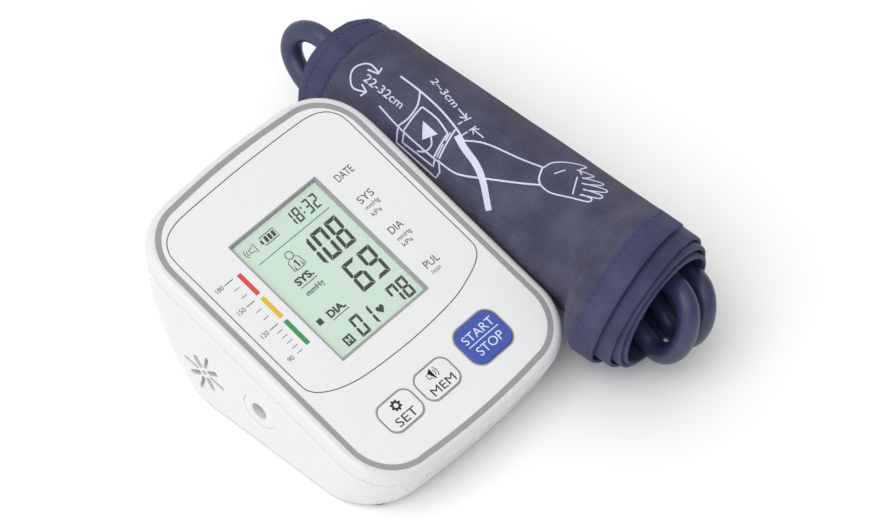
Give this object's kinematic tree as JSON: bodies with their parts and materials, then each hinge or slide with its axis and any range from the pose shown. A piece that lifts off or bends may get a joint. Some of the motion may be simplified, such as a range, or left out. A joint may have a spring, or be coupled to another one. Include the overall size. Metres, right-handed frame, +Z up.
{
  "type": "upper arm blood pressure monitor with rolled cuff",
  "caption": "Sloping table-top blood pressure monitor with display and push buttons, and its rolled fabric arm cuff with the air hose tucked through the roll.",
  "frame": {"origin": "bottom centre of the box round the monitor and the rolled cuff, without the hose, on the table", "axes": "+Z up, +Y from the low front of the monitor to its high back, +X from the monitor to the rolled cuff"},
  "size_m": [0.146, 0.1926, 0.0577],
  "materials": {
    "housing": "smooth white ABS",
    "trim": "grey satin",
    "face": "printed overlay",
    "clear": "clear window",
    "lcd": "pale green display",
    "inner_plastic": "moulded",
    "conductive_rubber": "zebra strip",
    "circuit_board": "green solder mask",
    "black_plastic": "moulded",
    "steel": "plated",
    "nickel": "nickel plated",
    "silicone": "translucent silicone",
    "foot_rubber": "matt grey",
    "blue_button": "satin blue",
    "white_button": "satin white",
    "cell": "sleeved cell",
    "cuff_nylon": "navy nylon twill",
    "cuff_lining": "navy nylon",
    "binding": "navy binding tape",
    "hook": "hook tape",
    "loop": "brushed loop pile",
    "bladder_rubber": "rubber bladder",
    "ring_metal": "plated wire",
    "hose_rubber": "slate blue PVC",
    "plug_plastic": "pale plastic"
  },
  "bodies": {
    "monitor": {"lower_housing": "housing", "upper_housing": "housing", "rubber_feet": "foot_rubber", "housing_screws": "steel", "trim_ring": "trim", "faceplate": "face", "window_frame": "trim", "button_bezels": "trim", "window_lens": "clear", "lcd_glass": "lcd", "lcd_holder": "inner_plastic", "contact_strips": "conductive_rubber", "main_board": "circuit_board", "key_switches": "black_plastic", "board_chips": "black_plastic", "pressure_sensor": "inner_plastic", "pump_motor": "steel", "pump_head": "black_plastic", "pump_diaphragm": "silicone", "valve_body": "black_plastic", "air_lines": "silicone", "air_tee": "inner_plastic", "air_jack": "housing", "speaker": "inner_plastic", "battery_cells": "cell", "contact_plates": "nickel", "contact_springs": "nickel"},
    "start_button": {"start_button": "blue_button"},
    "mem_button": {"mem_button": "white_button"},
    "set_button": {"set_button": "white_button"},
    "battery_door": {"battery_door": "housing"},
    "motor_rotor": {"motor_rotor": "steel", "pump_cam": "inner_plastic"},
    "valve_plunger": {"valve_plunger": "steel"},
    "cuff": {"cuff_cover": "cuff_nylon", "cuff_lining": "cuff_lining", "bladder": "bladder_rubber", "front_hem": "binding", "rear_hem": "binding", "hook_patch": "hook", "loop_patch": "loop", "ring_hem": "binding", "hose_port": "hose_rubber", "hose": "hose_rubber", "hose_plug": "plug_plastic"},
    "slide_ring": {"slide_ring": "ring_metal"}
  },
  "joints": [
    {"name": "start_button_press", "type": "slide", "parent": "monitor", "child": "start_button", "axis": [0, 0.3007, -0.9537], "range_m": [0, 0.0006], "stiffness_N_per_m": 2500},
    {"name": "mem_button_press", "type": "slide", "parent": "monitor", "child": "mem_button", "axis": [0, 0.3007, -0.9537], "range_m": [0, 0.0006], "stiffness_N_per_m": 2500},
    {"name": "set_button_press", "type": "slide", "parent": "monitor", "child": "set_button", "axis": [0, 0.3007, -0.9537], "range_m": [0, 0.0006], "stiffness_N_per_m": 2500},
    {"name": "battery_door_hinge", "type": "hinge", "parent": "monitor", "child": "battery_door", "pos_m": [-0.02386, -0.0287, 0.0014], "axis": [-1, 0, 0], "range_deg": [0, 100]},
    {"name": "motor_spin", "type": "hinge", "parent": "monitor", "child": "motor_rotor", "pos_m": [-0.02386, 0.0397, 0.029], "axis": [1, 0, 0], "continuous": true},
    {"name": "valve_stroke", "type": "slide", "parent": "monitor", "child": "valve_plunger", "axis": [0, 1, 0], "range_m": [0, 0.0008], "stiffness_N_per_m": 400},
    {"name": "cuff_lift", "type": "slide", "parent": "monitor", "child": "cuff", "axis": [0, 0, 1], "range_m": [0, 0.12]},
    {"name": "slide_ring_swing", "type": "hinge", "parent": "cuff", "child": "slide_ring", "pos_m": [0.06324, 0, 0.03141], "axis": [0, -1, 0], "range_deg": [0, 6]}
  ]
}
